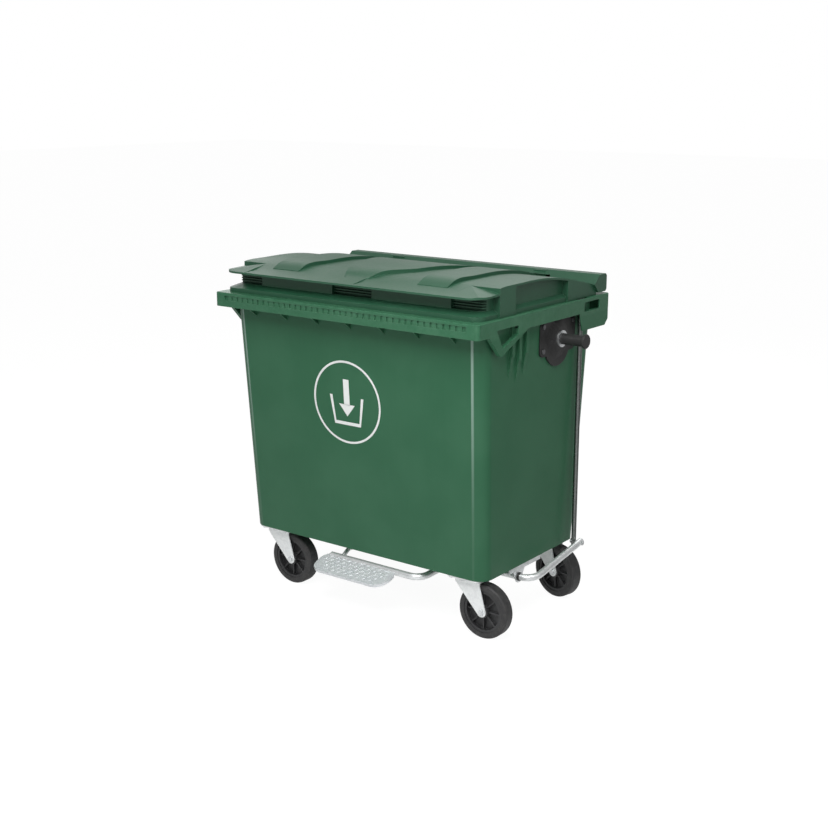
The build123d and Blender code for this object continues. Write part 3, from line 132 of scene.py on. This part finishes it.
# Camera: place in metres, angles in degrees, focal length in the picture's pixels
CAMERA_PLACE = (2.9272, -3.8758, 1.8965)
CAMERA_TILT = 90 - 14.041
CAMERA_TURN = 36.977
FOCAL_PIXELS = 1323.6
PICTURE_PIXELS = 828
SENSOR_WIDTH = 36.0
FAR_CLIP = 60.0

# Studio lamps: name, place, target, size and watts
LAMPS = (
    ("key", (1.05, -1.90, 3.00), (0.35, -0.30, 0.60), 1.8, 84),
    ("fill", (4.0, -0.6, 3.2), (0, 0, 0.6), 2.4, 22),
    ("low", (1.0, -4.6, 0.9), (0, 0, 0.6), 2.0, 13),
    ("rear", (-0.8, 2.8, 3.6), (0, 0, 0.8), 2.6, 40),
)

# Cards for reflections: name, place, size, tilt and turn in degrees, and strength
CARDS = (
    ("pale_sky", (-4.8, 2.8, 2.9), (2.4, 3.6, 1), (90, 60), 2.3),
    ("dark_wall", (3.0, 2.2, 1.4), (4.4, 3.2, 1), (90, 53), 0.05),
    ("dark_floor", (2.3, 2.0, 0.008), (2.9, 4.4, 1), (0, 0), 0.38),
)

# White background: its share in what camera rays and reflected rays see, and how
# strongly the world and the floor glow
WORLD_CAMERA_SHARE = 1.0
WORLD_GLOSSY_SHARE = 0.18
WORLD_LIGHT = 0.28
FLOOR_CAMERA_SHARE = 0.84
FLOOR_GLOSSY_SHARE = 0.45
FLOOR_GREY = 0.82
FLOOR_GLOW = 1.13
FLOOR_HALF_SIZE = 30.0
CARD_HALF_SIZE = 0.5
WHITE = (1, 1, 1, 1)


class Signal:
    """Output of a shader node that sums and products can use."""

    def __init__(self, finish, socket):
        self.finish = finish
        self.socket = socket

    def _math(self, operation, first, second):
        return self.finish.node("ShaderNodeMath", {"operation": operation}, {0: first, 1: second})

    def __add__(self, other):
        return self._math("ADD", self, other)

    def __rsub__(self, other):
        return self._math("SUBTRACT", other, self)

    def __mul__(self, other):
        return self._math("MULTIPLY", self, other)


class Finish:
    """Material of one finish, on a Principled shader."""

    def __init__(self, name, **constants):
        self.material = bpy.data.materials.new(name)
        self.nodes, self.links = emptied_tree(self.material)
        self.shader = self.nodes.new("ShaderNodeBsdfPrincipled")
        end = self.nodes.new("ShaderNodeOutputMaterial")
        self.links.new(self.shader.outputs[0], end.inputs[0])
        for socket, value in constants.items():
            self.shader.inputs[socket.replace("_", " ")].default_value = value
        self.place = self.node("ShaderNodeTexCoord", {}, {}, "Object")

    def node(self, kind, settings, inputs, output=0):
        """New node: its settings first, then the values or links of its sockets."""
        made = self.nodes.new(kind)
        for name, value in settings.items():
            setattr(made, name, value)
        for key, value in inputs.items():
            self.feed(made.inputs[key], value)
        return Signal(self, made.outputs[output])

    def feed(self, socket, value):
        """Value or link into a socket."""
        if isinstance(value, Signal):
            self.links.new(value.socket, socket)
        else:
            socket.default_value = value

    def drive(self, socket, value):
        """Varying input of the shader."""
        self.feed(self.shader.inputs[socket], value)

    def part_of(self, vector, axis):
        """One axis of a place or a direction."""
        return self.node("ShaderNodeSeparateXYZ", {}, {"Vector": vector}, axis)

    def stretched(self, x, y, z):
        """Object coordinates with a stretch along each axis."""
        return self.node("ShaderNodeMapping", {}, {"Vector": self.place, "Scale": (x, y, z)})

    def noise(self, scale, detail=2.0, roughness=0.5, place=None):
        """Noise from zero to one, around a half."""
        return self.node(
            "ShaderNodeTexNoise", {},
            {"Vector": place or self.place, "Scale": scale, "Detail": detail,
             "Roughness": roughness})

    def clipped(self, value, low, high, out_low=0.0, out_high=1.0):
        """Part of a value's range, spread over another range."""
        return self.node(
            "ShaderNodeMapRange", {"interpolation_type": "SMOOTHSTEP"},
            {"Value": value, "From Min": low, "From Max": high, "To Min": out_low,
             "To Max": out_high})

    def blended(self, share, first, second):
        """Colour between two colours."""
        return self.node(
            "ShaderNodeMix", {"data_type": "RGBA"},
            {"Factor": share, MIX_FIRST: first, MIX_SECOND: second}, MIX_RESULT)

    def soft_edges(self, radius):
        """Normal that rounds the piece's edges."""
        return self.node("ShaderNodeBevel", {"samples": BEVEL_SAMPLES}, {"Radius": radius})

    def worn_and_highlit_edges(self, radius):
        """One along the piece's edges and nought on its faces, for pale edges that are partly
        wear and partly painted highlight.
        """
        straight = self.node("ShaderNodeNewGeometry", {}, {}, "Normal")
        match = self.node(
            "ShaderNodeVectorMath", {"operation": "DOT_PRODUCT"},
            {0: self.soft_edges(radius), 1: straight}, "Value")
        return self.clipped(1 - match, low=0.02, high=0.2)

    def painted_corner_highlight(self):
        """Painted highlight: one along a narrow line where the front wall's round corners begin.
        """
        facing = self.node("ShaderNodeNewGeometry", {}, {}, "Normal")
        sideways = self.part_of(facing, "X")
        turned = self.node("ShaderNodeMath", {"operation": "ABSOLUTE"}, {0: sideways})
        begin = self.clipped(turned, low=0.04, high=0.10)
        forward = self.part_of(facing, "Y")
        front = self.clipped(forward, low=-0.9, high=-0.8, out_low=1.0, out_high=0.0)
        end = self.clipped(turned, low=0.20, high=0.30, out_low=1.0, out_high=0.0)
        return begin * front * end

    def bumped(self, height, strength, distance, under):
        """Normal with a bump, over another normal."""
        return self.node(
            "ShaderNodeBump", {},
            {"Strength": strength, "Distance": distance, "Height": height, "Normal": under})


def emptied_tree(owner):
    """Nodes and links of a material or a world, with nothing in them."""
    owner.use_nodes = True
    nodes, links = owner.node_tree.nodes, owner.node_tree.links
    nodes.clear()
    return nodes, links


def moulded_plastic(name, colour, pale, roughness, grain, body=False, **constants):
    """Moulded polyethylene: fine grain, faint flow marks, cloudy colour, and pale edges that are
    partly wear and partly painted highlight; on the body also a painted highlight down the front
    corners and a rim band of painted sheen and scuffs.
    """
    finish = Finish(name, IOR=1.5, **constants)
    cloud = finish.clipped(finish.noise(4.0, detail=3.0), low=0.35, high=0.7)
    flow = finish.noise(1.0, detail=3.0, roughness=0.6, place=finish.stretched(55.0, 55.0, 3.0))
    speck = finish.clipped(finish.noise(260.0, detail=3.0, roughness=0.7), low=0.45, high=0.75)
    patchy = finish.clipped(finish.noise(45.0, detail=3.0, roughness=0.7), low=0.3, high=0.7)
    # Pale edges: partly wear, partly painted highlight
    wear_and_highlight = finish.worn_and_highlit_edges(WEAR_AND_HIGHLIGHT_RADIUS) * patchy
    if body:
        # Rim band of painted sheen with patchy scuffs
        height = finish.part_of(finish.place, "Z")
        rim_sheen_band = finish.clipped(height, RIM_SHEEN_FOOT, RIM_SHEEN_HEAD)
        scuff_and_sheen = finish.clipped(finish.noise(22.0, detail=4.0, roughness=0.75), low=0.2, high=0.8)
        wear_and_highlight = wear_and_highlight + rim_sheen_band * scuff_and_sheen * 0.5
        # Painted highlight down the front corners, stronger towards the top and stopping at the
        # rim band
        highlight_strength = finish.clipped(
            height, PAINTED_HIGHLIGHT_FOOT, PAINTED_HIGHLIGHT_HEAD, out_low=0.06, out_high=0.8)
        corner_highlight = finish.painted_corner_highlight() * highlight_strength * (1 - rim_sheen_band)
    tint = finish.blended(cloud * 0.55 + flow * 0.25, colour, pale)
    specked = finish.blended(speck * 0.12, tint, pale)
    # Pale edges and rim band: wear and scuffs together with painted highlight and sheen
    worn = finish.blended(wear_and_highlight * 0.5, specked, [WEAR_AND_HIGHLIGHT_GAIN * part + WEAR_AND_HIGHLIGHT_LIFT for part in pale])
    # Painted corner highlight laid into the colour
    if body:
        worn = finish.blended(corner_highlight, worn, PAINTED_HIGHLIGHT_COLOUR)
    finish.drive("Base Color", worn)
    finish.drive("Roughness", cloud * 0.06 + speck * 0.07 + flow * 0.05 + roughness)
    edge = finish.soft_edges(PLASTIC_EDGE_RADIUS)
    wave = finish.bumped(finish.noise(9.0), 0.12, WAVE_DEPTH, edge)
    skin = finish.noise(1100.0, roughness=0.6)
    finish.drive("Normal", finish.bumped(skin, grain, GRAIN_DEPTH, wave))
    return finish.material


def zinc_plated(name, colour, dark, roughness, spangle_scale=260.0, metallic=1.0):
    """Zinc on steel: crystals, faint stains and fine scratches."""
    finish = Finish(name, Metallic=metallic)
    crystal = finish.node(
        "ShaderNodeTexVoronoi", {"feature": "F1"},
        {"Vector": finish.place, "Scale": spangle_scale}, "Color")
    facet = finish.node("ShaderNodeSeparateColor", {}, {"Color": crystal})
    stain = finish.clipped(finish.noise(35.0, detail=4.0, roughness=0.65), low=0.35, high=0.75)
    scratch = finish.noise(1.0, place=finish.stretched(90.0, 900.0, 90.0))
    finish.drive("Base Color", finish.blended(facet * 0.3 + stain * 0.45, colour, dark))
    finish.drive("Roughness", facet * 0.10 + stain * 0.14 + scratch * 0.06 + roughness)
    edge = finish.soft_edges(ZINC_EDGE_RADIUS)
    finish.drive("Normal", finish.bumped(scratch, 0.10, GRAIN_DEPTH, edge))
    return finish.material


def rubber(name, colour, worn, roughness):
    """Solid rubber: dusty, with a fine grain."""
    finish = Finish(name, IOR=1.5)
    dust = finish.clipped(finish.noise(60.0, detail=4.0, roughness=0.7), low=0.4, high=0.75)
    finish.drive("Base Color", finish.blended(dust * 0.6, colour, worn))
    finish.drive("Roughness", dust * 0.15 + roughness)
    edge = finish.soft_edges(RUBBER_EDGE_RADIUS)
    finish.drive("Normal", finish.bumped(finish.noise(1400.0), 0.25, GRAIN_DEPTH, edge))
    return finish.material


def make_finishes():
    """All finishes by their short names."""
    return {
        # The body's finish also carries the painted corner highlight and the rim's painted sheen
        "body": moulded_plastic(
            "body_green", (0.022, 0.112, 0.053, 1), (0.038, 0.138, 0.072, 1), roughness=0.42,
            grain=0.35, body=True, Specular_IOR_Level=0.2, Coat_Weight=0.15,
            Coat_Roughness=0.20),
        "lid": moulded_plastic(
            "lid_green", (0.013, 0.074, 0.036, 1), (0.024, 0.092, 0.050, 1), roughness=0.42,
            grain=0.35, Specular_IOR_Level=0.5),
        "black": moulded_plastic(
            "black_plastic", (0.014, 0.014, 0.014, 1), (0.034, 0.034, 0.034, 1),
            roughness=0.42, grain=0.4, Specular_IOR_Level=0.4),
        "wheel": moulded_plastic(
            "wheel_plastic", (0.018, 0.018, 0.019, 1), (0.045, 0.046, 0.048, 1),
            roughness=0.40, grain=0.4, Specular_IOR_Level=0.5),
        "white": moulded_plastic(
            "white_print", (0.78, 0.80, 0.79, 1), (0.86, 0.87, 0.86, 1), roughness=0.45,
            grain=0.2, Specular_IOR_Level=0.2),
        "tyre": rubber(
            "tyre_rubber", (0.026, 0.026, 0.027, 1), (0.075, 0.073, 0.07, 1), roughness=0.58),
        "zinc": zinc_plated(
            "zinc_steel", (0.80, 0.82, 0.83, 1), (0.52, 0.54, 0.55, 1), roughness=0.22),
        "tube": zinc_plated(
            "tube_zinc", (0.88, 0.90, 0.90, 1), (0.60, 0.62, 0.63, 1), roughness=0.26,
            metallic=0.7),
        "rod": zinc_plated(
            "rod_zinc", (0.20, 0.21, 0.205, 1), (0.13, 0.14, 0.135, 1), roughness=0.20),
        "bright": zinc_plated(
            "bright_zinc", (0.92, 0.94, 0.94, 1), (0.72, 0.74, 0.75, 1), roughness=0.34,
            spangle_scale=200.0, metallic=0.30),
        "dull": zinc_plated(
            "dull_zinc", (0.20, 0.20, 0.21, 1), (0.12, 0.12, 0.13, 1), roughness=0.35),
        "tread": zinc_plated(
            "tread_plate", (0.84, 0.86, 0.88, 1), (0.56, 0.60, 0.63, 1), roughness=0.36,
            spangle_scale=130.0, metallic=0.40),
    }


def finish_of(node, slot):
    """Short name of a node's finish."""
    for start, finish in FINISH_OF_PART.items():
        if node.startswith(start):
            return finish
    return FINISH_OF_SLOT[slot]


def marked_sharp(edge):
    """Whether an edge stays sharp: a steep one, or one between a plain top and a flank."""
    if len(edge.link_faces) != 2 or edge.calc_face_angle() > SMOOTH_ANGLE:
        return True
    leans = sorted(abs(face.normal.x) for face in edge.link_faces)
    upward = min(face.normal.z for face in edge.link_faces) > UPWARD_LEAN
    return upward and leans[0] < PLAIN_LEAN and leans[1] > FLANK_LEAN


def finished(name, shape, finish, body, smooth=True):
    """Object of a finished shape that rides on a body."""
    if smooth:
        for face in shape.faces:
            face.smooth = True
        for edge in shape.edges:
            edge.smooth = not marked_sharp(edge)
    mesh = bpy.data.meshes.new(name)
    shape.to_mesh(mesh)
    shape.free()
    mesh.materials.append(finishes[finish])
    piece = bpy.data.objects.new(name, mesh)
    bpy.context.scene.collection.objects.link(piece)
    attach(piece, body)
    return piece


def joined_copy(node, body, finish):
    """Copy of a node with its facets joined and its curves shaded smooth."""
    shape = bmesh.new()
    shape.from_mesh(frame["nodes"][node].data)
    bmesh.ops.remove_doubles(shape, verts=shape.verts, dist=SAME_PLACE)
    if node not in CURVED_PARTS:
        bmesh.ops.dissolve_limit(
            shape, angle_limit=FLAT_ANGLE, use_dissolve_boundaries=False, verts=shape.verts,
            edges=shape.edges, delimit={"NORMAL"})
    piece = finished(node + "_skin", shape, finish, body)
    weighted = piece.modifiers.new("flat_faces", "WEIGHTED_NORMAL")
    weighted.weight = FLAT_FACE_WEIGHT
    weighted.keep_sharp = True
    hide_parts(node)


def wall_frame(out):
    """Turn and move from a flat drawing to the front wall, a distance out from it."""
    share = (RING_CENTRE_Z - BASE_HEIGHT) / (RIM_TOP - BASE_HEIGHT)
    wall = WALL_FRONT_LOW + (WALL_FRONT_HIGH - WALL_FRONT_LOW) * share
    lean = math.atan2(WALL_FRONT_LOW - WALL_FRONT_HIGH, RIM_TOP - BASE_HEIGHT)
    turn = Matrix.Rotation(math.radians(90) + lean, 4, "X")
    return Matrix.Translation((RING_CENTRE_X, wall - out, RING_CENTRE_Z)) @ turn


def raise_faces(shape, faces):
    """Give a flat print its thin edge."""
    raised = bmesh.ops.extrude_face_region(shape, geom=faces)["geom"]
    verts = [item for item in raised if isinstance(item, bmesh.types.BMVert)]
    bmesh.ops.translate(shape, verts=verts, vec=(0, 0, PRINT_RISE))


def flat_ring(shape):
    """Printed ring about the middle of the drawing."""
    outer, inner = (
        bmesh.ops.create_circle(shape, segments=RING_SEGMENTS, radius=radius)["verts"]
        for radius in (RING_RADIUS, RING_RADIUS - RING_WIDTH))
    edges = {edge for vert in outer + inner for edge in vert.link_edges}
    raise_faces(shape, bmesh.ops.bridge_loops(shape, edges=list(edges))["faces"])


def flat_patch(shape, corners):
    """Printed patch over a drawn outline."""
    raise_faces(shape, [shape.faces.new([shape.verts.new((x, y, 0)) for x, y in corners])])


def make_emblem():
    """White ring with an open box and a falling arrow."""
    shape = bmesh.new()
    flat_ring(shape)
    for corners in (BOX_FLOOR, BOX_LEFT_SIDE, BOX_RIGHT_SIDE, ARROW_SHAFT, ARROW_HEAD):
        flat_patch(shape, corners)
    bmesh.ops.recalc_face_normals(shape, faces=shape.faces)
    bmesh.ops.transform(shape, matrix=wall_frame(PRINT_GAP), verts=shape.verts)
    finished("front_emblem", shape, "white", "tub", smooth=False)


def lozenge_places(columns):
    """Places and turns of the lozenges, clear of the plate's cut front corners."""
    for column in range(columns):
        for row in range(LOZENGE_ROWS):
            x = (column - (columns - 1) / 2) * LOZENGE_PITCH
            y = (row - (LOZENGE_ROWS - 1) / 2) * LOZENGE_ROW_PITCH
            if abs(x) <= FULL_COLUMNS_HALF or y >= CORNER_ROWS_Y:
                yield x, y, LOZENGE_TURN if (column + row) % 2 else -LOZENGE_TURN


def make_lozenges():
    """Raised lozenges of the foot plate."""
    shape = bmesh.new()
    low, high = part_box("pedal_foot_plate")
    slope = math.atan2(FOOT_PLATE_REAR_Z - FOOT_PLATE_FRONT_Z, FOOT_PLATE_RUN)
    middle = ((low.x + high.x) / 2, FOOT_PLATE_MIDDLE_Y, FOOT_PLATE_MIDDLE_Z)
    plate = Matrix.Translation(middle) @ Matrix.Rotation(slope, 4, "X")
    size = Matrix.Diagonal((*LOZENGE_HALF_SIZE, 1))
    for x, y, degrees in lozenge_places(int((high.x - low.x) / LOZENGE_PITCH) - 2):
        made = bmesh.ops.create_uvsphere(shape, u_segments=8, v_segments=4, radius=1.0)
        turn = Matrix.Rotation(math.radians(degrees), 4, "Z")
        where = plate @ Matrix.Translation((x, y, 0)) @ turn @ size
        bmesh.ops.transform(shape, matrix=where, verts=made["verts"])
    finished("foot_plate_lozenges", shape, "tread", "pedal")


def make_camera():
    """Camera at the photograph's place and angle."""
    data = bpy.data.cameras.new("camera")
    data.sensor_width = SENSOR_WIDTH
    data.lens = SENSOR_WIDTH * FOCAL_PIXELS / PICTURE_PIXELS
    data.clip_end = FAR_CLIP
    camera = bpy.data.objects.new("camera", data)
    camera.location = CAMERA_PLACE
    camera.rotation_euler = (math.radians(CAMERA_TILT), 0, math.radians(CAMERA_TURN))
    bpy.context.scene.collection.objects.link(camera)
    bpy.context.scene.camera = camera


def area_light(name, place, target, size, watts):
    """Soft square lamp that points at a place."""
    data = bpy.data.lights.new(name, "AREA")
    data.size = size
    data.energy = watts
    lamp = bpy.data.objects.new(name, data)
    lamp.location = place
    aim = Vector(target) - Vector(place)
    lamp.rotation_euler = aim.to_track_quat("-Z", "Y").to_euler()
    bpy.context.scene.collection.objects.link(lamp)


def glowing(nodes, kind, strength):
    """White glow of a strength."""
    glow = nodes.new(kind)
    glow.inputs["Color"].default_value = WHITE
    glow.inputs["Strength"].default_value = strength
    return glow


def show_background(nodes, links, end, shares, lit, shown):
    """Mix of what lights the object and what camera and reflected rays see in part."""
    seen = nodes.new("ShaderNodeLightPath")
    reflected = nodes.new("ShaderNodeMath")
    reflected.operation = "MULTIPLY"
    links.new(seen.outputs["Is Glossy Ray"], reflected.inputs[0])
    reflected.inputs[1].default_value = shares[1]
    total = nodes.new("ShaderNodeMath")
    total.operation = "MULTIPLY_ADD"
    links.new(seen.outputs["Is Camera Ray"], total.inputs[0])
    total.inputs[1].default_value = shares[0]
    links.new(reflected.outputs[0], total.inputs[2])
    mix = nodes.new("ShaderNodeMixShader")
    links.new(total.outputs[0], mix.inputs[0])
    links.new(lit.outputs[0], mix.inputs[1])
    links.new(shown.outputs[0], mix.inputs[2])
    links.new(mix.outputs[0], nodes.new(end).inputs[0])


def studio_sheet(name, half_size, where):
    """Flat sheet of the studio, with the nodes and links of its empty material."""
    shape = bmesh.new()
    bmesh.ops.create_grid(shape, x_segments=1, y_segments=1, size=half_size)
    bmesh.ops.transform(shape, matrix=where, verts=shape.verts)
    mesh = bpy.data.meshes.new(name)
    shape.to_mesh(mesh)
    shape.free()
    material = bpy.data.materials.new(name)
    mesh.materials.append(material)
    sheet = bpy.data.objects.new(name, mesh)
    bpy.context.scene.collection.objects.link(sheet)
    return (sheet, *emptied_tree(material))


def make_world():
    """World that is white to the camera and lights the object softly."""
    world = bpy.data.worlds.new("studio")
    bpy.context.scene.world = world
    nodes, links = emptied_tree(world)
    shown = glowing(nodes, "ShaderNodeBackground", 1.0)
    lit = glowing(nodes, "ShaderNodeBackground", WORLD_LIGHT)
    shares = (WORLD_CAMERA_SHARE, WORLD_GLOSSY_SHARE)
    show_background(nodes, links, "ShaderNodeOutputWorld", shares, lit, shown)


def make_floor():
    """Floor that is white to the camera and keeps the object's shadow."""
    floor, nodes, links = studio_sheet("floor", FLOOR_HALF_SIZE, Matrix.Identity(4))
    matt = nodes.new("ShaderNodeBsdfDiffuse")
    matt.inputs["Color"].default_value = (FLOOR_GREY, FLOOR_GREY, FLOOR_GREY, 1)
    glow = glowing(nodes, "ShaderNodeEmission", FLOOR_GLOW)
    shares = (FLOOR_CAMERA_SHARE, FLOOR_GLOSSY_SHARE)
    show_background(nodes, links, "ShaderNodeOutputMaterial", shares, matt, glow)


def reflected_card(name, place, size, turn, strength):
    """Studio card that only reflections see, tilted and then turned."""
    stand = Matrix.Rotation(math.radians(turn[1]), 4, "Z") @ Matrix.Rotation(
        math.radians(turn[0]), 4, "X")
    where = Matrix.Translation(place) @ stand @ Matrix.Diagonal((*size, 1))
    card, nodes, links = studio_sheet(name, CARD_HALF_SIZE, where)
    card.visible_camera = False
    card.visible_diffuse = False
    card.visible_shadow = False
    card.visible_transmission = False
    glow = glowing(nodes, "ShaderNodeEmission", strength)
    links.new(glow.outputs[0], nodes.new("ShaderNodeOutputMaterial").inputs[0])


def make_studio():
    """White world, pale floor, soft lamps and cards."""
    make_world()
    for lamp in LAMPS:
        area_light(*lamp)
    make_floor()
    for card in CARDS:
        reflected_card(*card)


make_camera()
finishes = make_finishes()
slot_of = {part["node"]: part["material_slot"] for part in frame["record"]["subparts"]}
for body, members in frame["record"]["behaviour"]["bodies"].items():
    for node in members:
        joined_copy(node, body, finish_of(node, slot_of[node]))
make_emblem()
make_lozenges()
make_studio()
bpy.context.scene.view_settings.view_transform = "Standard"
